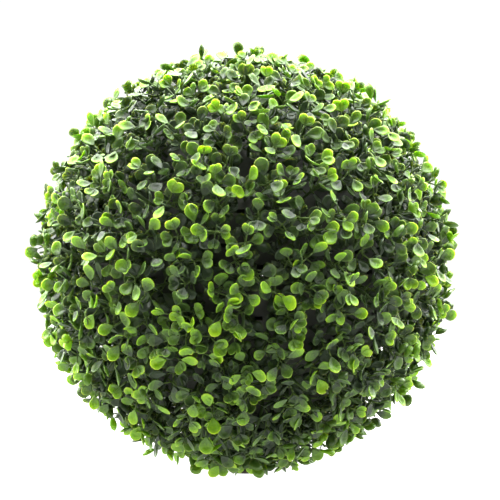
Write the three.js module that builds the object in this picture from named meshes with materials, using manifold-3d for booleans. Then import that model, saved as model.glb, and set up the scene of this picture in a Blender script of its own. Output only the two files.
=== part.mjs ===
// An artificial box topiary ball, 400 mm across: a clipped ball of small round leaves
// in sprigs, made as an upper and a lower half, on a short tapered stem that it hides.
// Millimetres, +Z up. The origin is the middle of the flat cut under the stem.
import * as THREE from "three";
import { mergeVertices } from "three/addons/utils/BufferGeometryUtils.js";
import Module from "manifold-3d";

const wasm = await Module();
wasm.setup();

// The ball
const OUTLINE_RADIUS = 200; // mean reach of the leaf tips from the ball's middle
const CENTRE_HEIGHT = 202; // the ball's middle above the ground
const CORE_RADIUS = 173; // the dense inside that the sprigs stand out of
const CORE_RELIEF = 4; // how far its surface rises and falls
const CORE_DETAIL = 5;
const GAP = 0.3; // between solids that meet
const GROUND_CLEARANCE = 1;

// The stem
const STEM_FOOT_RADIUS = 15; // at the root flare
const STEM_RADIUS = 9.5;
const STEM_TIP_RADIUS = 6.5;
const STEM_FLARE_HEIGHT = 24;
const STEM_LEAN = 5; // how far the tip stands off the middle of the foot
const STEM_SIDES = 15;
const FLARE_STEPS = 3;
const STEM_STEPS = 6;

// The sprigs
const SPRIG_PITCH = 63; // between neighbouring sprigs, at the outline
const SPRIG_ROOT = 162; // from the ball's middle
const SPRIG_TIP = 177;
const SPRIG_FOOT_RADIUS = 3.4;
const SPRIG_TIP_RADIUS = 2.2;
const TWIG_SIDES = 3;
const PLACE_JITTER = 0.16; // of the pitch
const REACH_JITTER = 4;
const SPRIG_LEAN = 0.12; // radians, at most
const SEAM_SPIN = Math.PI / 4; // next to the seam, where leaves lie slantwise along it
const UNDERSIDE = 0.8; // cosine from straight down within which sprigs are shorter
const UNDERSIDE_TUCK = 4; // how much shorter, straight down

// The leaves. Each stands for a spray of the small ones.
const LEAF_LENGTH = 40;
const LEAF_WIDTH = 41;
const LEAF_THICKNESS = 2.4;
const LEAF_WIDEST = 0.6; // share of the length from the base to the widest place
const LEAF_CUP = 3.5; // how far the blade's middle lies below its rim
const LEAF_SINK = 3; // how far the base goes into the twig
const TILT_JITTER = 0.14;
const TURN_JITTER = 0.16;
const SIZE_JITTER = 0.1;

// Pairs of leaves from a sprig's tip down, each pair across the last: how far below the
// tip, and how far they lean away from the twig.
const PAIRS = [
  { below: 2, tilt: 0.9 },
  { below: 4.5, tilt: 1.24 },
];

const SEED = 31;
const MERGE_DISTANCE = 0.001;
const SLIVER = 0.02; // facets narrower than this are smoothed out

// A repeatable stream of numbers from 0 to 1.
function seeded(seed) {
  let state = seed >>> 0;
  return () => {
    state = (state + 0x6d2b79f5) >>> 0;
    let mixed = Math.imul(state ^ (state >>> 15), state | 1);
    mixed ^= mixed + Math.imul(mixed ^ (mixed >>> 7), mixed | 61);
    return ((mixed ^ (mixed >>> 14)) >>> 0) / 2 ** 32;
  };
}

// A number from -1 to 1.
function either(random) {
  return 2 * random() - 1;
}

// A closed geometry with its corners shared, holding nothing but their places.
function sharedCorners(geometry) {
  const bare = new THREE.BufferGeometry()
    .setAttribute("position", geometry.getAttribute("position").clone())
    .setIndex(geometry.index);
  return mergeVertices(bare, MERGE_DISTANCE);
}

// A closed geometry, put in its place, as a solid that can be joined and cut.
function solidOf(geometry, matrix = new THREE.Matrix4()) {
  const merged = sharedCorners(geometry).applyMatrix4(matrix);
  return new wasm.Manifold(
    new wasm.Mesh({
      numProp: 3,
      vertProperties: merged.attributes.position.array,
      triVerts: new Uint32Array(merged.index.array),
    }),
  );
}

function geometryOf(solid) {
  const { vertProperties, triVerts } = solid.simplify(SLIVER).getMesh();
  const geometry = new THREE.BufferGeometry()
    .setAttribute("position", new THREE.BufferAttribute(vertProperties, 3))
    .setIndex(new THREE.BufferAttribute(triVerts, 1));
  geometry.computeVertexNormals();
  return geometry;
}

// The largest body of a solid: sealed hollows are filled and loose scraps dropped.
function wholeBody(solid) {
  return solid.decompose().sort((a, b) => b.volume() - a.volume())[0];
}

// A frame at the ball's middle.
function ballFrame() {
  return new THREE.Matrix4().makeTranslation(0, 0, CENTRE_HEIGHT);
}

function stemOffset(height) {
  return STEM_LEAN * (height / CENTRE_HEIGHT) ** 2;
}

function stemRadius(height) {
  const taper = THREE.MathUtils.lerp(STEM_RADIUS, STEM_TIP_RADIUS, height / CENTRE_HEIGHT);
  const flare = Math.max(0, 1 - height / STEM_FLARE_HEIGHT) ** 2;
  return taper + flare * (STEM_FOOT_RADIUS - STEM_RADIUS);
}

// The stem, turned from its radius at each height and then leaned. Widened by clear all
// round, and let down below the ground, it is the space that the leaves leave free.
function stemSolid(bottom, top, clear) {
  const heights = bottom < 0 ? [bottom] : [];
  for (let i = 0; i < FLARE_STEPS; i++) {
    heights.push((STEM_FLARE_HEIGHT * i) / FLARE_STEPS);
  }
  for (let i = 0; i <= STEM_STEPS; i++) {
    heights.push(THREE.MathUtils.lerp(STEM_FLARE_HEIGHT, top, i / STEM_STEPS));
  }
  const wall = heights.map(
    (height) => new THREE.Vector2(stemRadius(Math.max(height, 0)) + clear, height),
  );
  const profile = [new THREE.Vector2(0, bottom), ...wall, new THREE.Vector2(0, top)];
  const turned = new THREE.LatheGeometry(profile, STEM_SIDES).rotateX(Math.PI / 2);
  const places = turned.getAttribute("position");
  for (let i = 0; i < places.count; i++) {
    places.setX(i, places.getX(i) + stemOffset(Math.max(places.getZ(i), 0)));
  }
  return solidOf(turned);
}

// The core as a ball with a rough surface.
function coreSolid(random) {
  const core = sharedCorners(new THREE.IcosahedronGeometry(CORE_RADIUS, CORE_DETAIL));
  const places = core.getAttribute("position");
  const place = new THREE.Vector3();
  for (let i = 0; i < places.count; i++) {
    place.fromBufferAttribute(places, i).setLength(CORE_RADIUS + CORE_RELIEF * either(random));
    places.setXYZ(i, place.x, place.y, place.z);
  }
  return solidOf(core, ballFrame());
}

// Where the sprigs of one half stand, in rows parallel to the seam between the halves.
// side is 1 for the upper half and -1 for the lower.
function sprigPlaces(side, random) {
  const quarter = Math.PI / 2;
  const rows = Math.round((quarter * OUTLINE_RADIUS) / SPRIG_PITCH);
  const angleJitter = (PLACE_JITTER * SPRIG_PITCH) / OUTLINE_RADIUS;
  const places = [];
  for (let row = 0; row < rows; row++) {
    const nextToSeam = row === 0;
    const latitude = (quarter * (row + 0.5)) / rows;
    const girth = 2 * Math.PI * OUTLINE_RADIUS * Math.cos(latitude);
    const count = Math.round(girth / SPRIG_PITCH);
    const start = random();
    for (let i = 0; i < count; i++) {
      const up = latitude + (nextToSeam ? 0 : angleJitter * either(random));
      const around = (2 * Math.PI * (i + start + PLACE_JITTER * either(random))) / count;
      const out = new THREE.Vector3(
        Math.cos(up) * Math.cos(around),
        Math.cos(up) * Math.sin(around),
        Math.sin(up) * side,
      );
      const down = Math.max(0, (-out.z - UNDERSIDE) / (1 - UNDERSIDE));
      places.push({
        out,
        length: SPRIG_TIP - SPRIG_ROOT + REACH_JITTER * either(random) - UNDERSIDE_TUCK * down,
        lean: nextToSeam ? 0 : SPRIG_LEAN * random(),
        leanTurn: 2 * Math.PI * random(),
        spin: nextToSeam ? SEAM_SPIN : 2 * Math.PI * random(),
      });
    }
  }
  return places;
}

// A frame at a sprig's root, with Z along its twig.
function sprigFrame(place) {
  const side = new THREE.Vector3(0, 0, 1).cross(place.out).normalize();
  const up = new THREE.Vector3().crossVectors(place.out, side);
  const leanAxis = new THREE.Vector3(Math.cos(place.leanTurn), Math.sin(place.leanTurn), 0);
  return ballFrame()
    .multiply(new THREE.Matrix4().makeBasis(side, up, place.out))
    .multiply(new THREE.Matrix4().makeTranslation(0, 0, SPRIG_ROOT))
    .multiply(new THREE.Matrix4().makeRotationAxis(leanAxis, place.lean))
    .multiply(new THREE.Matrix4().makeRotationZ(place.spin));
}

function twigSolid(frame, length) {
  const twig = new THREE.CylinderGeometry(SPRIG_TIP_RADIUS, SPRIG_FOOT_RADIUS, length, TWIG_SIDES);
  return solidOf(twig.rotateX(Math.PI / 2).translate(0, 0, length / 2), frame);
}

// One cupped blade of eight faces, with its base at the origin, its tip along Y and its
// upper face towards Z.
function leafGeometry(size) {
  const blade = new THREE.OctahedronGeometry(1);
  const places = blade.getAttribute("position");
  for (let i = 0; i < places.count; i++) {
    const along = Math.round(places.getY(i));
    const across = Math.round(places.getX(i));
    const above = Math.round(places.getZ(i));
    const share = along === 0 ? LEAF_WIDEST : (along + 1) / 2;
    const cup = above === 0 ? 0 : LEAF_CUP;
    places.setXYZ(
      i,
      (across * size * LEAF_WIDTH) / 2,
      share * size * LEAF_LENGTH,
      (above * LEAF_THICKNESS) / 2 - cup,
    );
  }
  return blade;
}

// A leaf on its twig, leaning away from it by tilt.
function leafSolid(frame, height, turn, tilt, size) {
  const matrix = frame
    .clone()
    .multiply(new THREE.Matrix4().makeTranslation(0, 0, height))
    .multiply(new THREE.Matrix4().makeRotationZ(turn))
    .multiply(new THREE.Matrix4().makeRotationX(Math.PI / 2 - tilt))
    .multiply(new THREE.Matrix4().makeTranslation(0, SPRIG_TIP_RADIUS - LEAF_SINK, 0));
  return solidOf(leafGeometry(size), matrix);
}

// A sprig's twig and its pairs of leaves.
function sprigSolids(place, random) {
  const frame = sprigFrame(place);
  const solids = [twigSolid(frame, place.length)];
  PAIRS.forEach((pair, level) => {
    for (const opposite of [0, 1]) {
      const turn = Math.PI * (opposite + level / 2) + TURN_JITTER * either(random);
      const tilt = pair.tilt + TILT_JITTER * either(random);
      const size = 1 + SIZE_JITTER * either(random);
      solids.push(leafSolid(frame, place.length - pair.below, turn, tilt, size));
    }
  });
  return solids;
}

// Whether a twig or leaf keeps to its own half, above the ground and clear of the stem.
function hasRoom(solid, side, stemSpace) {
  const { min, max } = solid.boundingBox();
  const fromSeam = side > 0 ? min[2] - CENTRE_HEIGHT : CENTRE_HEIGHT - max[2];
  const free = fromSeam > GAP / 2 && min[2] > GROUND_CLEARANCE;
  return free && solid.intersect(stemSpace).isEmpty();
}

// One half of the ball: its share of the core, cut clear of the stem, and the sprigs
// fused to it. A twig or leaf with no room is left out.
function halfBall(side, core, stemSpace, random) {
  const size = 4 * CORE_RADIUS;
  const half = solidOf(
    new THREE.BoxGeometry(size, size, size),
    ballFrame().multiply(new THREE.Matrix4().makeTranslation(0, 0, (side * (size + GAP)) / 2)),
  );
  const solids = [core.intersect(half).subtract(stemSpace)];
  for (const place of sprigPlaces(side, random)) {
    const sprig = sprigSolids(place, random);
    solids.push(...sprig.filter((solid) => hasRoom(solid, side, stemSpace)));
  }
  return wholeBody(wasm.Manifold.union(solids));
}

function part(name, solid, colour, roughness) {
  const material = new THREE.MeshStandardMaterial({ color: colour, roughness, metalness: 0 });
  const mesh = new THREE.Mesh(geometryOf(solid), material);
  mesh.name = name;
  return mesh;
}

const random = seeded(SEED);
const stem = stemSolid(0, CENTRE_HEIGHT - GAP / 2, 0);
const stemSpace = stemSolid(-CENTRE_HEIGHT, CENTRE_HEIGHT, GAP);
const core = coreSolid(random);

const ball = new THREE.Group();
ball.add(
  part("stem", stem, "#4b4334", 0.75),
  part("upper_foliage", halfBall(1, core, stemSpace, random), "#6f9a43", 0.45),
  part("lower_foliage", halfBall(-1, core, stemSpace, random), "#547a38", 0.45),
);

export default ball;
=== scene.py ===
"""An artificial box topiary ball: moulded sprigs of small round leaves, set in two open
half shells, on a short stem that they hide. Metres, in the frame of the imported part."""

import math

import bmesh
import bpy
import numpy as np
from mathutils import Matrix, Vector


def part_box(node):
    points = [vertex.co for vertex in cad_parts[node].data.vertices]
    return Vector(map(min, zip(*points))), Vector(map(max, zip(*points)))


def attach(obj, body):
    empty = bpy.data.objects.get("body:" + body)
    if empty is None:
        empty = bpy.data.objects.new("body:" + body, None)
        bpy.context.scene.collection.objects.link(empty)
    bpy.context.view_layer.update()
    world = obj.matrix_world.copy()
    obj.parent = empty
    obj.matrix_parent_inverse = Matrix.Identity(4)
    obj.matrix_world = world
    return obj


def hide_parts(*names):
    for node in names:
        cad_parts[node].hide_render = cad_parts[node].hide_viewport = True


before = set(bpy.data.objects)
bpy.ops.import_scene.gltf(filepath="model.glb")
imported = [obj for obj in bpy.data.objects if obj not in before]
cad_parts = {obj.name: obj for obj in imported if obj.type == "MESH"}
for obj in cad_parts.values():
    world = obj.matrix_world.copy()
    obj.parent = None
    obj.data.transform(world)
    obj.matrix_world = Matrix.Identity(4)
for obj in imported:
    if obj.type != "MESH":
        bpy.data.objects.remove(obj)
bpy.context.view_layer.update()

bl_info = {
    "name": "Box topiary ball",
    "version": (1, 0, 0),
    "blender": (4, 5, 0),
    "location": "View3D > Sidebar > Box Ball",
    "description": "Builds a moulded box topiary ball round its packed solids",
    "category": "Add Mesh",
}

MM = 0.001
BODY = "root"
HALVES = {"upper": 1, "lower": -1}

# Where sprigs stand: in rows as in the source, but closer together, shaken more, and drawn
# out to the ground round the foot
PLACE_JITTER = 0.3  # of the pitch
UNDERSIDE = 0.94  # cosine from straight down within which sprigs hang to the ground
UNDERSIDE_DROP = 4 * MM  # how much further out they reach, straight down
HANG = 0.35  # how much closer to their twig the lowest arms hang
TIP_SPAN = 15.5 * MM  # how far hanging blades reach past their twig's tip
HANG_SHARE = 1.5  # how soon, towards straight down, sprigs hang to the ground
GROUND_GAP = 1 * MM  # between the lowest blades and the ground
FOOT_SPRIGS = (18, 12)  # in the two rings round the stem
STEM_CLEARANCE = 19 * MM  # between the lowest sprigs' roots and the stem's middle
STEM_FLARE_HEIGHT = 24 * MM
STEM_ROOM = 1 * MM  # between a blade and the stem
GROUND_CLEARANCE = 0.3 * MM  # under everything that grows
SEED = 31

# A sprig, from its tip down: pairs of arms, each pair across the last. below is how many
# millimetres under the tip an arm leaves the twig, and tilt how far it leans from it, in
# radians; heart is the share of arms with two blades side by side; climb is how much of the
# sprig's run of greens its blades show, and it shrinks level by level so that the deeper
# blades are painted darker, as painted shade inside the ball; plain blades lie deep inside,
# where only their outline shows.
LEVELS = [
    {"name": "tip", "below": 4.0, "tilt": 0.68, "heart": 0.45, "climb": 1.0, "plain": False},
    {"name": "second", "below": 11.0, "tilt": 0.74, "heart": 0.45, "climb": 0.54, "plain": False},
    {"name": "third", "below": 18.0, "tilt": 0.6, "heart": 0.35, "climb": 0.17, "plain": False},
    {"name": "inner", "below": 25.0, "tilt": 0.65, "heart": 0.4, "climb": 0.06, "plain": True},
    {"name": "innermost", "below": 32.5, "tilt": 1.1, "heart": 0.9, "climb": 0.0, "plain": True},
]

# How unevenly a sprig is moulded and set: angles in radians, sizes in shares
TILT_JITTER = 0.42
TURN_JITTER = 0.4
BEND_JITTER = 0.35
ROLL_JITTER = 0.75
FOLD_JITTER = 0.15
SIZE_JITTER = 0.13
WIDTH_JITTER = 0.08

BLADE_BEND = 0.08  # radians that a blade leans further out than its arm's end
HEART_SPREAD = 0.46  # radians between each blade of a heart and its arm
HEART_FOLD = 0.22  # radians that each blade of a heart is rolled
HEART_SIZE = 0.76  # of a single blade

# How the moulder's colours fall on a sprig: where a blade's base starts on the ramp of
# greens, how far the colour climbs to its tip, and how many sprigs in all are like it.
TONES = [
    {"start": 0.4, "climb": 8.0, "share": 0.39},  # two-tone: dark foot, lime rim
    {"start": 2.2, "climb": 5.8, "share": 0.2},  # fresh green
    {"start": 4.6, "climb": 4.2, "share": 0.14},  # lime all over
    {"start": 0.3, "climb": 4.0, "share": 0.27},  # deep green
]
GREENS = 10  # steps in the ramp of greens
START_JITTER = 0.8  # steps, between arms

# A blade's outline: widest past its middle, and blunt at the tip
BLADE_SIDES = 14
PLAIN_SIDES = 10
BLADE_WIDEST = 1.45  # power that moves its widest place towards the tip
BLADE_FULLNESS = 0.6  # power that rounds its sides out
BLADE_MIDDLE = 0.55  # share of the length that its rings shrink towards
SHOULDER = 0.6  # of the length, about where its sides reach out furthest
RIM_SHARE = 0.88  # of its outline, inside the rim
RIM_LIFT = 0.35  # of the wall
BOWL_SHARE = 0.5  # of its outline, at the ring in the bowl
BOWL_DEPTH = 0.75  # of the cup

# How far along its colours each place on a blade lies, from 0 at the foot to 1 at the tip
UNDERSIDE_REACH = 0.36
# The rim's extra step up the ramp is partly the moulded lime edge and partly painted rim light.
LIME_EDGE_AND_RIM_LIGHT = 0.12  # further than the bowl beside it
FOOT_HOLD = 1.4  # power that holds the foot's colour towards the middle
DOWNWARD = -0.5  # upright part of the normal of a face that looks down

# Arms and twigs, each a little thinner at its far end
ARM_SIDES = 3
ARM_STEPS = 2
ARM_END = 0.8  # of its radius
TWIG_SIDES = 6
TWIG_STEPS = 3
TWIG_END = 0.7  # of its radius
TWIG_ARC = 0.12  # radians that it bends through

MERGE_DISTANCE = 0.001 * MM  # between corners that are one


def linear(hex_colour):
    """An sRGB hex colour as the linear numbers that a shader takes."""
    shares = [int(hex_colour[i : i + 2], 16) / 255 for i in (1, 3, 5)]
    return [s / 12.92 if s <= 0.04045 else ((s + 0.055) / 1.055) ** 2.4 for s in shares]


def length_property(name, description, default):
    return bpy.props.FloatProperty(
        name=name, description=description, default=default, min=0, unit="LENGTH", precision=4
    )


def colour_property(name, description, hex_colour):
    return bpy.props.FloatVectorProperty(
        name=name,
        description=description,
        default=linear(hex_colour),
        min=0,
        max=1,
        size=3,
        subtype="COLOR",
    )


class BallSettings(bpy.types.PropertyGroup):
    """The ball's own sizes."""

    centre_height: length_property(
        "Centre height", "Height of the ball's middle above the ground", 202 * MM
    )
    outline_radius: length_property("Outline radius", "Mean reach of the leaf tips", 200 * MM)
    shell_radius: length_property("Shell radius", "Outside of the moulded half shells", 149 * MM)
    shell_wall: length_property("Shell wall", "Thickness of the half shells", 2 * MM)
    sprig_pitch: length_property("Sprig pitch", "Between sprigs, at the outline", 26.2 * MM)
    sprig_tip: length_property("Sprig tip", "Reach of the twigs' tips", 192 * MM)
    sprig_reach_jitter: length_property("Reach jitter", "How unevenly the twigs reach", 3.4 * MM)
    sprig_lean: bpy.props.FloatProperty(
        name="Sprig lean", description="Most that a twig leans", default=0.3, unit="ROTATION"
    )
    twig_radius: length_property("Twig radius", "Radius of a sprig's twig", 1.5 * MM)


class LeafSettings(bpy.types.PropertyGroup):
    """Sizes and colours of the leaves and the arms that carry them."""

    blade_length: length_property("Blade length", "From its arm to its tip", 15.2 * MM)
    blade_width: length_property("Blade width", "Across its widest place", 11.6 * MM)
    blade_thickness: length_property("Blade thickness", "At the rim", 0.7 * MM)
    blade_cup: length_property("Blade cup", "How deep its bowl is", 1.7 * MM)
    arm_length: length_property("Arm length", "From the twig to the blade", 7.5 * MM)
    arm_radius: length_property("Arm radius", "Radius of the stalk", 0.8 * MM)
    arm_arc: bpy.props.FloatProperty(
        name="Arm arc", description="How far an arm bends outwards", default=0.32, unit="ROTATION"
    )
    deep_green: colour_property("Deep green", "Foot of the darkest leaves", "#304127")
    mid_green: colour_property("Mid green", "Body of most leaves", "#5A7F27")
    fresh_green: colour_property("Fresh green", "Outer half of most leaves", "#7EAC1D")
    lime: colour_property("Lime", "Rims and tips of the brightest leaves", "#A5C71F")
    stalk_green: colour_property("Stalk green", "The twigs", "#3D5226")
    arm_green: colour_property("Arm green", "The arms that carry the leaves", "#4C6426")
    shell_green: colour_property("Shell green", "The half shells", "#363930")


class StemSettings(bpy.types.PropertyGroup):
    """Sizes and colour of the short stem inside the ball."""

    foot_radius: length_property("Foot radius", "At the root flare", 15 * MM)
    radius: length_property("Radius", "Just above the flare", 9.5 * MM)
    tip_radius: length_property("Tip radius", "At the ball's middle", 6.5 * MM)
    lean: length_property("Lean", "How far the tip stands off the foot's middle", 5 * MM)
    relief: length_property("Bark relief", "Depth of the bark's furrows", 0.5 * MM)
    bark: colour_property("Bark", "The moulded bark", "#403B2C")


class StageSettings(bpy.types.PropertyGroup):
    """The camera, the floor and the soft light."""

    camera_distance: length_property("Camera distance", "From the ball's middle", 2.2)
    camera_rise: bpy.props.FloatProperty(
        name="Camera rise", description="Angle above level", default=0.065, unit="ROTATION"
    )
    ball_radius_px: bpy.props.FloatProperty(
        name="Ball in the picture", description="Radius of the ball in pixels", default=211
    )
    top_light: bpy.props.FloatProperty(
        name="Top light", description="Brightness straight above", default=12.0
    )
    side_light: bpy.props.FloatProperty(
        name="Side light", description="Brightness level with the ball", default=4.4
    )
    front_share: bpy.props.FloatProperty(
        name="Front share", description="Share of the light on the camera's side", default=0.0
    )
    dark_dip: bpy.props.FloatProperty(
        name="Dark dip",
        description="How far under level the tent's dark side is aimed",
        default=0.6,
        unit="ROTATION",
    )
    back_share: bpy.props.FloatProperty(
        name="Back share", description="Share of the light behind the ball", default=1.8
    )
    floor_colour: colour_property("Floor", "The plain pale floor", "#626260")


def settings():
    """The scene's own copies of the groups above."""
    scene = bpy.context.scene
    return scene.ball_settings, scene.leaf_settings, scene.stem_settings, scene.stage_settings


def seeded(seed):
    """A repeatable stream of numbers from 0 to 1, made in the source's way."""
    word = 0xFFFFFFFF
    state = seed & word
    while True:
        state = (state + 0x6D2B79F5) & word
        mixed = ((state ^ (state >> 15)) * (state | 1)) & word
        mixed ^= (mixed + ((mixed ^ (mixed >> 7)) * (mixed | 61))) & word
        yield (mixed ^ (mixed >> 14)) / 2**32


def either(random):
    """A number from -1 to 1."""
    return 2 * next(random) - 1


def add_node(tree, kind, links=None, **options):
    """Adds a node, sets its options and sockets, and links its inputs."""
    node = tree.nodes.new(kind)
    sockets = options.pop("sockets", {})
    for option, value in options.items():
        setattr(node, option, value)
    for socket, value in sockets.items():
        node.inputs[socket].default_value = value
    for socket, source in (links or {}).items():
        tree.links.new(source, node.inputs[socket])
    return node


def new_material(name):
    material = bpy.data.materials.new(name)
    material.use_nodes = True
    material.node_tree.nodes.clear()
    return material, material.node_tree


GLOSS_PATCH = 9 * MM
GLOSS_SPREAD = (-0.06, 0.08)  # past the roughness, in the shiniest and dullest patches
NOISE_SPREAD = (0.3, 0.7)  # where most values of a noise texture lie
GRAIN_STRENGTH = 0.6
PLASTIC_IOR = 1.43
GLOW_DEPTH = 2 * MM
GLOW_TINT = (1.0, 1.0, 0.3)  # red and green light go further in than blue


def moulded_plastic(name, colour, roughness, grain, relief, glow=0.0):
    """Soft moulded polyethylene, made once for each name. Its skin copies the mould, so the
    gloss is soft and a little uneven, and a fine grain breaks the highlights. Thin parts
    pass some light."""
    if name in bpy.data.materials:
        return bpy.data.materials[name]
    material, tree = new_material(name)
    places = add_node(tree, "ShaderNodeTexCoord").outputs["Object"]
    uneven = add_node(
        tree,
        "ShaderNodeTexNoise",
        {"Vector": places},
        sockets={"Scale": 1 / GLOSS_PATCH, "Detail": 1.0, "Roughness": 0.5},
    )
    gloss = add_node(
        tree,
        "ShaderNodeMapRange",
        {"Value": uneven.outputs["Fac"]},
        sockets={
            "From Min": NOISE_SPREAD[0],
            "From Max": NOISE_SPREAD[1],
            "To Min": roughness + GLOSS_SPREAD[0],
            "To Max": roughness + GLOSS_SPREAD[1],
        },
    )
    fine = add_node(
        tree,
        "ShaderNodeTexNoise",
        {"Vector": places},
        sockets={"Scale": 1 / grain, "Detail": 2.0, "Roughness": 0.55},
    )
    bump = add_node(
        tree,
        "ShaderNodeBump",
        {"Height": fine.outputs["Fac"]},
        sockets={"Strength": GRAIN_STRENGTH, "Distance": relief},
    )
    skin = add_node(
        tree,
        "ShaderNodeBsdfPrincipled",
        {"Roughness": gloss.outputs["Result"], "Normal": bump.outputs["Normal"]},
        sockets={
            "Base Color": (*colour, 1),
            "IOR": PLASTIC_IOR,
            "Subsurface Weight": glow,
            "Subsurface Radius": GLOW_TINT,
            "Subsurface Scale": GLOW_DEPTH,
        },
    )
    add_node(tree, "ShaderNodeOutputMaterial", {"Surface": skin.outputs["BSDF"]})
    return material


LEAF_GRAIN = 1.1 * MM
LEAF_RELIEF = 0.06 * MM
DEEP_GLOW = 0.3  # of the deepest green
GLOW_RISE = 0.6  # from there to lime


def leaf_greens(leaf):
    """The ramp of greens, from the deepest to lime, as plain base colours of one plastic."""
    stops = [leaf.deep_green, leaf.mid_green, leaf.fresh_green, leaf.lime]
    greens = []
    for step in range(GREENS):
        place = step / (GREENS - 1) * (len(stops) - 1)
        low = min(int(place), len(stops) - 2)
        share = place - low
        colour = [a + (b - a) * share for a, b in zip(stops[low], stops[low + 1])]
        glow = DEEP_GLOW + GLOW_RISE * step / (GREENS - 1)
        greens.append(
            moulded_plastic(
                f"leaf_plastic_{step}",
                colour,
                roughness=0.42,
                grain=LEAF_GRAIN,
                relief=LEAF_RELIEF,
                glow=glow,
            )
        )
    return greens


def stalk_plastic(leaf):
    """The harder plastic of the twigs, with coarser mould marks than the leaves."""
    return moulded_plastic(
        "stalk_plastic", leaf.stalk_green, roughness=0.55, grain=1.5 * MM, relief=0.1 * MM
    )


def arm_plastic(leaf):
    """The leaves' own plastic, too thick in the arms to glow."""
    return moulded_plastic(
        "arm_plastic", leaf.arm_green, roughness=0.5, grain=LEAF_GRAIN, relief=LEAF_RELIEF
    )


def shell_plastic(leaf):
    """The dark, dull plastic of the half shells, that the gaps between leaves show."""
    return moulded_plastic(
        "shell_plastic", leaf.shell_green, roughness=0.6, grain=2.5 * MM, relief=0.1 * MM
    )


def bark_plastic(stem):
    """Hard matte plastic that copies real bark, with a fine grain over its furrows."""
    return moulded_plastic(
        "bark_plastic", stem.bark, roughness=0.62, grain=0.8 * MM, relief=0.2 * MM
    )


def finished(name, bm, materials):
    """Makes a piece of a bmesh, with its doubles merged and its faces turned outwards."""
    bmesh.ops.remove_doubles(bm, verts=bm.verts, dist=MERGE_DISTANCE)
    bmesh.ops.recalc_face_normals(bm, faces=bm.faces)
    mesh = bpy.data.meshes.new(name)
    bm.to_mesh(mesh)
    bm.free()
    for material in materials:
        mesh.materials.append(material)
    return linked(name, mesh)


def linked(name, mesh):
    piece = bpy.data.objects.new(name, mesh)
    bpy.context.scene.collection.objects.link(piece)
    return piece


def belongs(piece, slot, *nodes):
    """Puts a piece on the ball's one body, in place of the solids that it stands for."""
    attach(piece, BODY)
    if nodes:
        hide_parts(*nodes)


class Template:
    """A small closed mesh that many copies are made of."""

    def __init__(self, bm, reach=None):
        bmesh.ops.recalc_face_normals(bm, faces=bm.faces)
        bm.verts.index_update()
        self.places = np.array([vert.co for vert in bm.verts])
        self.corners = np.array([v.index for face in bm.faces for v in face.verts])
        self.sizes = np.array([len(face.verts) for face in bm.faces])
        self.reach = np.array([reach(face) for face in bm.faces]) if reach else None
        bm.free()


def joined_copies(name, template, points, shades, materials):
    """One piece made of many copies of a template. points holds each copy's corners, and
    shades which material each face of each copy has."""
    count = len(points)
    mesh = bpy.data.meshes.new(name)
    mesh.vertices.add(count * len(template.places))
    mesh.vertices.foreach_set("co", points.astype(np.float32).ravel())
    first = np.arange(count)[:, None] * len(template.places)
    corners = (first + template.corners).ravel()
    mesh.loops.add(len(corners))
    mesh.loops.foreach_set("vertex_index", corners.astype(np.int32))
    sizes = np.tile(template.sizes, count)
    mesh.polygons.add(len(sizes))
    mesh.polygons.foreach_set("loop_start", (np.cumsum(sizes) - sizes).astype(np.int32))
    used = np.unique(shades)
    mesh.polygons.foreach_set(
        "material_index", np.searchsorted(used, shades).ravel().astype(np.int32)
    )
    mesh.polygons.foreach_set("use_smooth", np.ones(len(sizes), bool))
    for index in used:
        mesh.materials.append(materials[index])
    mesh.update(calc_edges=True)
    mesh.validate()
    return linked(name, mesh)


def moved_points(template, matrices):
    """The corners of a template at each of many places."""
    places = np.array([list(map(list, matrix)) for matrix in matrices])
    turned = np.einsum("nij,vj->nvi", places[:, :3, :3], template.places)
    return turned + places[:, None, :3, 3]


def shrunk_face(bm, face, share, middle, lift):
    """Draws a smaller copy of a face inside it, towards the blade's middle and higher."""
    inner = bmesh.ops.extrude_discrete_faces(bm, faces=[face])["faces"][0]
    space = Matrix.Translation(-middle)
    bmesh.ops.scale(bm, vec=(share, share, 1), space=space, verts=inner.verts)
    bmesh.ops.translate(bm, vec=(0, 0, lift), verts=inner.verts)
    return inner


def blade_template(leaf, plain):
    """A leaf blade with its base at the origin and its tip along Y, a shallow bowl towards
    Z with a raised rim. A plain one has no rim of its own."""
    length, wall, cup = leaf.blade_length, leaf.blade_thickness, leaf.blade_cup
    middle = Vector((0, length * BLADE_MIDDLE, 0))
    bm = bmesh.new()
    sides = PLAIN_SIDES if plain else BLADE_SIDES
    bmesh.ops.create_circle(bm, cap_ends=True, segments=sides, radius=1)
    for vert in bm.verts:
        share = min(max((1 + vert.co.y) / 2, 0), 1)
        half = math.sin(math.pi * share**BLADE_WIDEST) ** BLADE_FULLNESS * leaf.blade_width / 2
        vert.co = (math.copysign(half, vert.co.x), share * length, 0)
    [top] = bm.faces
    if not plain:
        top = shrunk_face(bm, top, RIM_SHARE, middle, RIM_LIFT * wall)
        top = shrunk_face(bm, top, BOWL_SHARE / RIM_SHARE, middle, -BOWL_DEPTH * cup)
    poked = bmesh.ops.poke(bm, faces=[top], offset=0)["verts"][0]
    poked.co = (0, middle.y, -cup)
    under = bmesh.ops.holes_fill(bm, edges=bm.edges[:], sides=0)["faces"][0]
    if not plain:
        under = shrunk_face(bm, under, BOWL_SHARE, middle, -BOWL_DEPTH * cup - wall)
    poked = bmesh.ops.poke(bm, faces=[under], offset=0)["verts"][0]
    poked.co = (0, middle.y, -cup - wall)

    def reach(face):
        """How far along the colour ramp a face lies, more on the rim than in the bowl: the rim's
        extra is partly the moulded lime edge and partly painted rim light.
        """
        place = face.calc_center_median()
        share = max(place.y / length, 0) ** FOOT_HOLD
        edge = math.hypot(place.x / leaf.blade_width, (place.y - middle.y) / length) * 2
        if face.normal.z < DOWNWARD:
            return UNDERSIDE_REACH
        return share + (LIME_EDGE_AND_RIM_LIGHT if edge > RIM_SHARE else 0)

    return Template(bm, reach)


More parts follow.
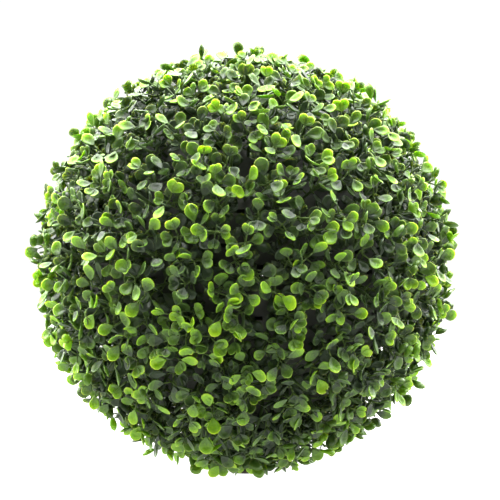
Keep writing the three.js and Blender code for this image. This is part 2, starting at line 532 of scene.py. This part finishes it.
def stalk_template(length, radius, end_radius, sides, steps, arc):
    """A closed stalk that leaves the origin along Y and bends towards -Z."""
    bm = bmesh.new()
    bmesh.ops.create_circle(
        bm,
        cap_ends=True,
        segments=sides,
        radius=radius,
        matrix=Matrix.Rotation(math.pi / 2, 4, "X"),
    )
    grown = bmesh.ops.spin(
        bm,
        geom=bm.verts[:] + bm.edges[:] + bm.faces[:],
        cent=(0, 0, -length / arc),
        axis=(-1, 0, 0),
        angle=arc,
        steps=steps,
    )["geom_last"]
    end = [part for part in grown if isinstance(part, bmesh.types.BMVert)]
    middle = sum((vert.co for vert in end), Vector()) / len(end)
    share = end_radius / radius
    bmesh.ops.scale(bm, vec=(share,) * 3, space=Matrix.Translation(-middle), verts=end)
    return Template(bm)


def arm_end(leaf):
    """The place and direction of a bent arm's far end, where its blade starts."""
    bend = leaf.arm_length / leaf.arm_arc
    out = bend * math.sin(leaf.arm_arc)
    down = bend * (1 - math.cos(leaf.arm_arc))
    return Matrix.Translation((0, out, -down)) @ Matrix.Rotation(-leaf.arm_arc, 4, "X")


def sprig_rows(ball):
    return round(math.pi / 2 * ball.outline_radius / ball.sprig_pitch)


def sprig_places(side, ball, random):
    """Where the sprigs of one half stand: in rows parallel to the seam, as in the source,
    evenly filled and then shaken. Gives each one's frame, its length, and how nearly it
    points straight down, from 0 to 1."""
    quarter = math.pi / 2
    rows = sprig_rows(ball)
    angle_jitter = PLACE_JITTER * ball.sprig_pitch / ball.outline_radius
    root = ball.shell_radius - ball.shell_wall
    steepest = quarter - (STEM_CLEARANCE / root if side < 0 else 0)
    for row in range(rows):
        latitude = quarter * (row + 0.5) / rows
        girth = math.tau * ball.outline_radius * math.cos(latitude)
        count = round(girth / ball.sprig_pitch)
        if side < 0 and row >= rows - len(FOOT_SPRIGS):
            count = FOOT_SPRIGS[row - rows]
        start = next(random)
        for i in range(count):
            up = min(latitude + angle_jitter * either(random), steepest)
            around = math.tau * (i + start + PLACE_JITTER * either(random)) / count
            out = Vector(
                (
                    math.cos(up) * math.cos(around),
                    math.cos(up) * math.sin(around),
                    math.sin(up) * side,
                )
            )
            down = max(0, (-out.z - UNDERSIDE) / (1 - UNDERSIDE))
            reach = ball.sprig_tip + UNDERSIDE_DROP * down
            reach += ball.sprig_reach_jitter * either(random) * (1 - down)
            if down:
                to_ground = (ball.centre_height - GROUND_GAP) / -out.z
                reach = min(reach, to_ground - TIP_SPAN)
            length = reach - root
            lean = ball.sprig_lean * next(random) * (1 - down)
            lean_turn = math.tau * next(random)
            spin = math.tau * next(random)
            yield sprig_frame(ball, out, root, lean, lean_turn, spin), length, down


def sprig_frame(ball, out, root, lean, lean_turn, spin):
    """A frame at a sprig's root, with Z along its twig."""
    side = Vector((0, 0, 1)).cross(out).normalized()
    basis = Matrix((side, out.cross(side), out)).transposed().to_4x4()
    axis = (math.cos(lean_turn), math.sin(lean_turn), 0)
    return (
        Matrix.Translation((0, 0, ball.centre_height))
        @ basis
        @ Matrix.Translation((0, 0, root))
        @ Matrix.Rotation(lean, 4, axis)
        @ Matrix.Rotation(spin, 4, "Z")
    )


def picked_tone(random):
    """One of the ways that the colours fall, as often as its share."""
    draw = next(random)
    for tone in TONES:
        draw -= tone["share"]
        if draw < 0:
            return tone
    return TONES[0]


def grown_half(side, ball, leaf):
    """All that grows on one half: the places of its twigs and of its arms, and for each
    level the places of the blades with where their colour starts and how far it climbs."""
    random = seeded(SEED + side)
    end = arm_end(leaf)
    twigs, arms = [], []
    blades = {level["name"]: [] for level in LEVELS}
    for root, length, down in sprig_places(side, ball, random):
        spread = 1 - HANG * down
        sprig = []
        tone = picked_tone(random)
        for index, level in enumerate(LEVELS):
            height = length - level["below"] * MM
            for opposite in (0, 1):
                turn = math.pi * (opposite + index / 2) + TURN_JITTER * either(random)
                tilt = (level["tilt"] + TILT_JITTER * either(random)) * spread
                arm = (
                    root
                    @ Matrix.Translation((0, 0, height))
                    @ Matrix.Rotation(turn, 4, "Z")
                    @ Matrix.Rotation(math.pi / 2 - tilt, 4, "X")
                )
                bend = BLADE_BEND + BEND_JITTER * either(random)
                foot = arm @ end @ Matrix.Rotation(-bend, 4, "X")
                foot = foot @ Matrix.Rotation(ROLL_JITTER * either(random), 4, "Y")
                # Deeper levels start and climb lower on the ramp of greens: painted shade for
                # their depth in the ball.
                start = tone["start"] * level["climb"] + START_JITTER * either(random)
                climb = tone["climb"] * level["climb"]
                places = [foot @ blade for blade in arm_blades(level["heart"], random)]
                sprig.append((level["name"], arm, places, start, climb))
        axis = root.to_3x3().col[2]
        drop = hanging_drop(axis, down, [place for part in sprig for place in part[2]], leaf)
        moved = Matrix.Translation(axis * drop)
        twigs.append(root @ Matrix.Diagonal((1, 1, (length + drop) / ball.sprig_tip, 1)))
        for name, arm, places, start, climb in sprig:
            arms.append(moved @ arm)
            blades[name] += [(moved @ place, start, climb) for place in places]
    return twigs, arms, blades


def hanging_drop(axis, down, places, leaf):
    """How much further out a hanging sprig stands, so that its lowest blade ends just over
    the ground."""
    if not down:
        return 0
    length, half = leaf.blade_length, leaf.blade_width / 2
    shoulder = SHOULDER * length
    rim = [Vector((0, length, 0)), Vector((half, shoulder, 0)), Vector((-half, shoulder, 0))]
    lowest = min((place @ corner).z for place in places for corner in rim)
    drop = (lowest - GROUND_GAP) / -axis.z
    return drop * min(1, HANG_SHARE * down) if drop > 0 else drop


def arm_blades(heart_share, random):
    """The one blade of an arm, or the two that make a heart, from the arm's end."""
    size = 1 + SIZE_JITTER * either(random)
    if next(random) > heart_share:
        width = size * (1 + WIDTH_JITTER * either(random))
        return [Matrix.Diagonal((width, size, size, 1))]
    size *= HEART_SIZE
    return [
        Matrix.Rotation(hand * HEART_SPREAD, 4, "Z")
        @ Matrix.Rotation(hand * (HEART_FOLD + FOLD_JITTER * either(random)), 4, "Y")
        @ Matrix.Diagonal((size, size, size, 1))
        for hand in (-1, 1)
    ]


def stem_radius(stem, ball, height):
    share = np.clip(height / ball.centre_height, 0, 1)
    flare = np.maximum(0, 1 - np.maximum(height, 0) / STEM_FLARE_HEIGHT) ** 2
    return stem.radius + (stem.tip_radius - stem.radius) * share + flare * (
        stem.foot_radius - stem.radius
    )


def has_room(points, ball, stem):
    """Which copies stay above the ground and clear of the stem."""
    heights = points[..., 2]
    lean = stem.lean * (np.clip(heights, 0, None) / ball.centre_height) ** 2
    from_stem = np.hypot(points[..., 0] - lean, points[..., 1])
    clear = from_stem > stem_radius(stem, ball, heights) + STEM_ROOM
    clear |= heights > ball.centre_height
    return (heights > GROUND_CLEARANCE).all(1) & clear.all(1)


def blade_piece(half, level, blades, ball, leaf, stem):
    """The blades of one level of one half, joined."""
    template = blade_template(leaf, level["plain"])
    points = moved_points(template, [place for place, _, _ in blades])
    kept = has_room(points, ball, stem)
    start = np.array([start for _, start, _ in blades])[kept, None]
    climb = np.array([climb for _, _, climb in blades])[kept, None]
    shades = np.floor(start + climb * template.reach).clip(0, GREENS - 1).astype(int)
    name = f"{half}_{level['name']}_leaves"
    piece = joined_copies(name, template, points[kept], shades, leaf_greens(leaf))
    belongs(piece, f"{half}_leaves", f"{half}_foliage")


class BOXBALL_OT_stage(bpy.types.Operator):
    """Sets up the camera, the pale floor and the soft light"""

    bl_idname = "boxball.stage"
    bl_label = "Stage"

    def execute(self, context):
        ball, _, _, stage = settings()
        make_camera(ball, stage)
        make_floor(stage)
        make_daylight(stage)
        context.scene.view_settings.view_transform = "Standard"
        return {"FINISHED"}


PICTURE = 500  # pixels, both ways
BALL_IN_PICTURE = (244.8, 260.7)  # its middle in the photograph, in pixels
SENSOR = 36  # millimetres


def make_camera(ball, stage):
    """A long lens just above level, aimed so that the ball falls where it does in the
    photograph."""
    middle = Vector((0, 0, ball.centre_height))
    back = Vector((0, -math.cos(stage.camera_rise), math.sin(stage.camera_rise)))
    edge = math.asin(ball.outline_radius / stage.camera_distance)
    pixels_per_slope = stage.ball_radius_px / math.tan(edge)
    data = bpy.data.cameras.new("camera")
    data.sensor_width = SENSOR
    data.lens = pixels_per_slope * SENSOR / PICTURE
    camera = bpy.data.objects.new("camera", data)
    bpy.context.scene.collection.objects.link(camera)
    up = Vector((1, 0, 0)).cross(-back)
    metres_per_pixel = stage.camera_distance / pixels_per_slope
    right_of = (PICTURE / 2 - BALL_IN_PICTURE[0]) * metres_per_pixel
    above = (BALL_IN_PICTURE[1] - PICTURE / 2) * metres_per_pixel
    camera.location = middle + back * stage.camera_distance
    target = middle + Vector((right_of, 0, 0)) + up * above
    camera.rotation_euler = (target - camera.location).to_track_quat("-Z", "Y").to_euler()
    bpy.context.scene.camera = camera


FLOOR_RADIUS = 1.6
FLOOR_SIDES = 96
FLOOR_MOTTLE = 40 * MM
FLOOR_ROUGHNESS = (0.85, 0.95)
FLOOR_SPECULAR = 0.1
FLOOR_GLOW = 1.22  # so that it shows as white as the tent behind it


def make_floor(stage):
    """A round of matte laminate, lit to look white, and wide enough that no edge shows."""
    bm = bmesh.new()
    bmesh.ops.create_circle(bm, cap_ends=True, segments=FLOOR_SIDES, radius=FLOOR_RADIUS)
    material, tree = new_material("floor_laminate")
    places = add_node(tree, "ShaderNodeTexCoord").outputs["Object"]
    mottle = add_node(
        tree,
        "ShaderNodeTexNoise",
        {"Vector": places},
        sockets={"Scale": 1 / FLOOR_MOTTLE, "Detail": 2.0},
    )
    gloss = add_node(
        tree,
        "ShaderNodeMapRange",
        {"Value": mottle.outputs["Fac"]},
        sockets={"To Min": FLOOR_ROUGHNESS[0], "To Max": FLOOR_ROUGHNESS[1]},
    )
    skin = add_node(
        tree,
        "ShaderNodeBsdfPrincipled",
        {"Roughness": gloss.outputs["Result"]},
        sockets={
            "Base Color": (*stage.floor_colour, 1),
            "Specular IOR Level": FLOOR_SPECULAR,
            "Emission Color": (1, 1, 1, 1),
            "Emission Strength": FLOOR_GLOW,
        },
    )
    add_node(tree, "ShaderNodeOutputMaterial", {"Surface": skin.outputs["BSDF"]})
    floor = finished("floor", bm, [material])


# Where the tent's light changes, along three ways: 0 is square to a way, 1 straight along it
RISE_SPAN = (-0.1, 0.9)  # upwards, from its side light to its top light
DARK_SPAN = (0.0, 0.5)  # away from the aim of its dark side
BACK_SPAN = (0.2, 1)  # level, away from the camera
SEEN_WHITE = 1.05  # how bright the camera sees the tent itself


def make_daylight(stage):
    """A soft white tent of light: brightest above and behind, and dark on the camera's
    side, but plain white where the camera sees it."""
    world = bpy.data.worlds.new("light_tent")
    world.use_nodes = True
    tree = world.node_tree
    tree.nodes.clear()
    way = add_node(tree, "ShaderNodeTexCoord").outputs["Generated"]
    parts = add_node(tree, "ShaderNodeSeparateXYZ", {"Vector": way})
    rise = add_node(
        tree,
        "ShaderNodeMapRange",
        {"Value": parts.outputs["Z"]},
        interpolation_type="SMOOTHSTEP",
        sockets={
            "From Min": RISE_SPAN[0],
            "From Max": RISE_SPAN[1],
            "To Min": stage.side_light,
            "To Max": stage.top_light,
        },
    )
    away = (0, math.cos(stage.dark_dip), math.sin(stage.dark_dip))
    facing = add_node(
        tree,
        "ShaderNodeVectorMath",
        {0: way},
        operation="DOT_PRODUCT",
        sockets={1: away},
    )
    front = add_node(
        tree,
        "ShaderNodeMapRange",
        {"Value": facing.outputs["Value"]},
        interpolation_type="SMOOTHSTEP",
        sockets={
            "From Min": DARK_SPAN[0],
            "From Max": DARK_SPAN[1],
            "To Min": stage.front_share,
            "To Max": 1,
        },
    )
    back = add_node(
        tree,
        "ShaderNodeMapRange",
        {"Value": parts.outputs["Y"]},
        sockets={
            "From Min": BACK_SPAN[0],
            "From Max": BACK_SPAN[1],
            "To Min": 1,
            "To Max": stage.back_share,
        },
    )
    level = add_node(
        tree,
        "ShaderNodeMath",
        {0: front.outputs["Result"], 1: back.outputs["Result"]},
        operation="MULTIPLY",
    )
    lit = add_node(
        tree,
        "ShaderNodeMath",
        {0: rise.outputs["Result"], 1: level.outputs["Value"]},
        operation="MULTIPLY",
    )
    seen = add_node(tree, "ShaderNodeLightPath").outputs["Is Camera Ray"]
    strength = add_node(
        tree,
        "ShaderNodeMix",
        {"Factor": seen, "A": lit.outputs["Value"]},
        sockets={"B": SEEN_WHITE},
    )
    tent = add_node(
        tree,
        "ShaderNodeBackground",
        {"Strength": strength.outputs["Result"]},
        sockets={"Color": (1, 1, 1, 1)},
    )
    add_node(tree, "ShaderNodeOutputWorld", {"Surface": tent.outputs["Background"]})
    bpy.context.scene.world = world


STEM_SIDES = 48
STEM_RINGS = 70
END_FACE = 0.9  # upright part of the normal, past which a face is one of the stem's ends
BARK_SEED = 7

# The bark's marks are waves. AROUND is how many go round the stem, UP how many radians of
# one lie between the ground and the ball's middle, and SHARE how much of the relief it takes.
SWAY_SIZE = (0.5, 0.3)
SWAY_UP = (9, 23)
SWAY_STRENGTH = 2
FURROWS_AROUND = 5.5
FURROW_SHARE = 0.6
CRACKS_UP = 60
CRACK_BEND = 3
CRACK_BENDS_AROUND = 2
CRACK_THINNESS = 8
CRACK_SHARE = 0.3
KNOTS_AROUND = 3
KNOTS_UP = 14
KNOT_SHARE = 0.2
BARK_WAVES = 5  # two sways, the furrows, the cracks' bends and the knots


class BOXBALL_OT_stem(bpy.types.Operator):
    """Turns the short stem and gives it the bark's relief"""

    bl_idname = "boxball.stem"
    bl_label = "Stem"

    def execute(self, context):
        ball, _, stem, _ = settings()
        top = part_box("stem")[1].z
        bm = bmesh.new()
        bmesh.ops.create_cone(
            bm,
            cap_ends=True,
            segments=STEM_SIDES,
            radius1=1,
            radius2=1,
            depth=top,
            matrix=Matrix.Translation((0, 0, top / 2)),
        )
        for ring in range(1, STEM_RINGS):
            plane = (0, 0, top * ring / STEM_RINGS)
            everything = bm.verts[:] + bm.edges[:] + bm.faces[:]
            bmesh.ops.bisect_plane(bm, geom=everything, plane_co=plane, plane_no=(0, 0, 1))
        furrows = seeded(BARK_SEED)
        phases = [math.tau * next(furrows) for _ in range(BARK_WAVES)]
        for vert in bm.verts:
            vert.co = bark_place(vert.co, phases, ball, stem)
        for face in bm.faces:
            face.smooth = abs(face.normal.z) < END_FACE
        piece = finished("stem_bark", bm, [bark_plastic(stem)])
        belongs(piece, "stem", "stem")
        return {"FINISHED"}


def bark_place(place, phases, ball, stem):
    """Where a point of a plain upright tube comes to lie on the stem: long furrows that
    wander round it as they climb, cut by short cross cracks, and no deeper than the relief."""
    around = math.atan2(place.y, place.x)
    climb = place.z / ball.centre_height
    sways = zip(SWAY_SIZE, SWAY_UP, phases)
    wander = sum(size * math.sin(up * climb + phase) for size, up, phase in sways)
    furrow = abs(math.sin(FURROWS_AROUND * around + wander * SWAY_STRENGTH + phases[2]))
    bend = CRACK_BEND * math.sin(CRACK_BENDS_AROUND * around + phases[3])
    crack = math.sin(CRACKS_UP * climb + bend) ** CRACK_THINNESS
    knot = 0.5 + 0.5 * math.sin(KNOTS_AROUND * around + KNOTS_UP * climb + phases[4])
    depth = stem.relief * (
        1 - FURROW_SHARE * furrow - KNOT_SHARE * knot + CRACK_SHARE * crack
    )
    radius = float(stem_radius(stem, ball, np.array(place.z))) - depth
    lean = stem.lean * climb**2
    return (lean + radius * math.cos(around), radius * math.sin(around), place.z)


SHELL_STEPS = 112  # round the whole shell
RIB_EVERY = 2  # steps
OPEN_SHARE = 0.25  # of the places between ribs and bands that are holes
BAND_EDGES = (0.1, 0.3, 0.7, 0.9)  # of solid and open bands by turns, in shares of a row
SEAM_ANGLE = 0.002  # radians from the seam's level to each half's edge
COLLAR_GAP = 0.5 * MM  # round the stem


class BOXBALL_OT_shells(bpy.types.Operator):
    """Makes the two open half shells that the sprigs are set in"""

    bl_idname = "boxball.shells"
    bl_label = "Half shells"

    def execute(self, context):
        ball, leaf, stem, _ = settings()
        for half, side in HALVES.items():
            piece = half_shell(f"{half}_shell", side, ball, leaf, stem)
            belongs(piece, "stem", f"{half}_foliage")
        return {"FINISHED"}


def half_shell(name, side, ball, leaf, stem):
    """A wide band under each row of sprigs, a narrow one between rows, and ribs across the
    open bands. The lower half's last band ends in a collar round the stem."""
    rows = sprig_rows(ball)
    radius = ball.shell_radius
    collar = stem.radius + COLLAR_GAP if side < 0 else 0
    last = math.acos(collar / radius)
    bands = [(row + share) * math.pi / 2 / rows for row in range(rows) for share in BAND_EDGES]
    edges = [SEAM_ANGLE, *(edge for edge in bands if edge < last - SEAM_ANGLE), last]
    bm = bmesh.new()
    meridian = [
        bm.verts.new((radius * math.cos(up), 0, radius * math.sin(up) * side)) for up in edges
    ]
    for low, high in zip(meridian, meridian[1:]):
        bm.edges.new((low, high))
    bmesh.ops.spin(
        bm,
        geom=bm.verts[:] + bm.edges[:],
        axis=(0, 0, 1),
        angle=math.tau,
        steps=SHELL_STEPS,
        use_merge=True,
    )
    bmesh.ops.remove_doubles(bm, verts=bm.verts, dist=MERGE_DISTANCE)
    open_cells = [face for face in bm.faces if not is_solid(face, edges)]
    bmesh.ops.delete(bm, geom=open_cells, context="FACES")
    bmesh.ops.recalc_face_normals(bm, faces=bm.faces)
    bmesh.ops.solidify(bm, geom=bm.faces[:], thickness=ball.shell_wall)
    bmesh.ops.translate(bm, vec=(0, 0, ball.centre_height), verts=bm.verts)
    return finished(name, bm, [shell_plastic(leaf)])


def is_solid(face, edges):
    """Whether a face of the whole shell belongs to a band or to a rib."""
    place = face.calc_center_median()
    up = math.atan2(abs(place.z), math.hypot(place.x, place.y))
    stretch = sum(up > edge for edge in edges) - 1
    segment = int((math.atan2(place.y, place.x) % math.tau) / (math.tau / SHELL_STEPS))
    if stretch % 2 == 0 or segment % RIB_EVERY == 0:
        return True
    return next(seeded(SHELL_STEPS * stretch + segment)) > OPEN_SHARE


class BOXBALL_OT_twigs(bpy.types.Operator):
    """Grows the sprigs' twigs and the arms that carry the leaves"""

    bl_idname = "boxball.twigs"
    bl_label = "Twigs and arms"

    def execute(self, context):
        ball, leaf, stem, _ = settings()
        twig = stalk_template(
            length=ball.sprig_tip,
            radius=ball.twig_radius,
            end_radius=TWIG_END * ball.twig_radius,
            sides=TWIG_SIDES,
            steps=TWIG_STEPS,
            arc=TWIG_ARC,
        )
        stand_up(twig)
        arm = stalk_template(
            length=leaf.arm_length,
            radius=leaf.arm_radius,
            end_radius=ARM_END * leaf.arm_radius,
            sides=ARM_SIDES,
            steps=ARM_STEPS,
            arc=leaf.arm_arc,
        )
        for half, side in HALVES.items():
            twigs, arms, _ = grown_half(side, ball, leaf)
            for kind, template, places in (("twigs", twig, twigs), ("arms", arm, arms)):
                points = moved_points(template, places)
                points = points[has_room(points, ball, stem)]
                shades = np.zeros((len(points), len(template.sizes)), int)
                material = stalk_plastic(leaf) if kind == "twigs" else arm_plastic(leaf)
                piece = joined_copies(f"{half}_{kind}", template, points, shades, [material])
                belongs(piece, f"{half}_leaves", f"{half}_foliage")
        return {"FINISHED"}


def stand_up(template):
    """Swaps a template's Y and Z, so that a stalk grows along Z. That mirrors it, so the
    corners of each face change their order too."""
    template.places = template.places[:, [0, 2, 1]]
    faces = zip(np.cumsum(template.sizes), template.sizes)
    corners = [template.corners[end - size : end][::-1] for end, size in faces]
    template.corners = np.concatenate(corners)


class BOXBALL_OT_leaves(bpy.types.Operator):
    """Sets the blades on their arms, one piece for each level of each half"""

    bl_idname = "boxball.leaves"
    bl_label = "Leaves"

    def execute(self, context):
        ball, leaf, stem, _ = settings()
        for half, side in HALVES.items():
            _, _, blades = grown_half(side, ball, leaf)
            for level in LEVELS:
                blade_piece(half, level, blades[level["name"]], ball, leaf, stem)
        return {"FINISHED"}


OPERATORS = (
    BOXBALL_OT_stage,
    BOXBALL_OT_stem,
    BOXBALL_OT_shells,
    BOXBALL_OT_twigs,
    BOXBALL_OT_leaves,
)
GROUPS = {
    "ball_settings": BallSettings,
    "leaf_settings": LeafSettings,
    "stem_settings": StemSettings,
    "stage_settings": StageSettings,
}


class BOXBALL_PT_panel(bpy.types.Panel):
    """Lists the ball's sizes, colours and pieces"""

    bl_idname = "BOXBALL_PT_panel"
    bl_label = "Box Ball"
    bl_space_type = "VIEW_3D"
    bl_region_type = "UI"
    bl_category = "Box Ball"

    def draw(self, context):
        for name, group in GROUPS.items():
            box = self.layout.box()
            for setting in group.__annotations__:
                box.prop(getattr(context.scene, name), setting)
        for operator in OPERATORS:
            self.layout.operator(operator.bl_idname)


CLASSES = (*GROUPS.values(), *OPERATORS, BOXBALL_PT_panel)


def register():
    for cls in CLASSES:
        bpy.utils.register_class(cls)
    for name, group in GROUPS.items():
        setattr(bpy.types.Scene, name, bpy.props.PointerProperty(type=group))


def unregister():
    for name in GROUPS:
        delattr(bpy.types.Scene, name)
    for cls in reversed(CLASSES):
        bpy.utils.unregister_class(cls)


def main():
    register()
    bpy.ops.boxball.stage()
    bpy.ops.boxball.stem()
    bpy.ops.boxball.shells()
    bpy.ops.boxball.twigs()
    bpy.ops.boxball.leaves()


if __name__ == "__main__":
    main()
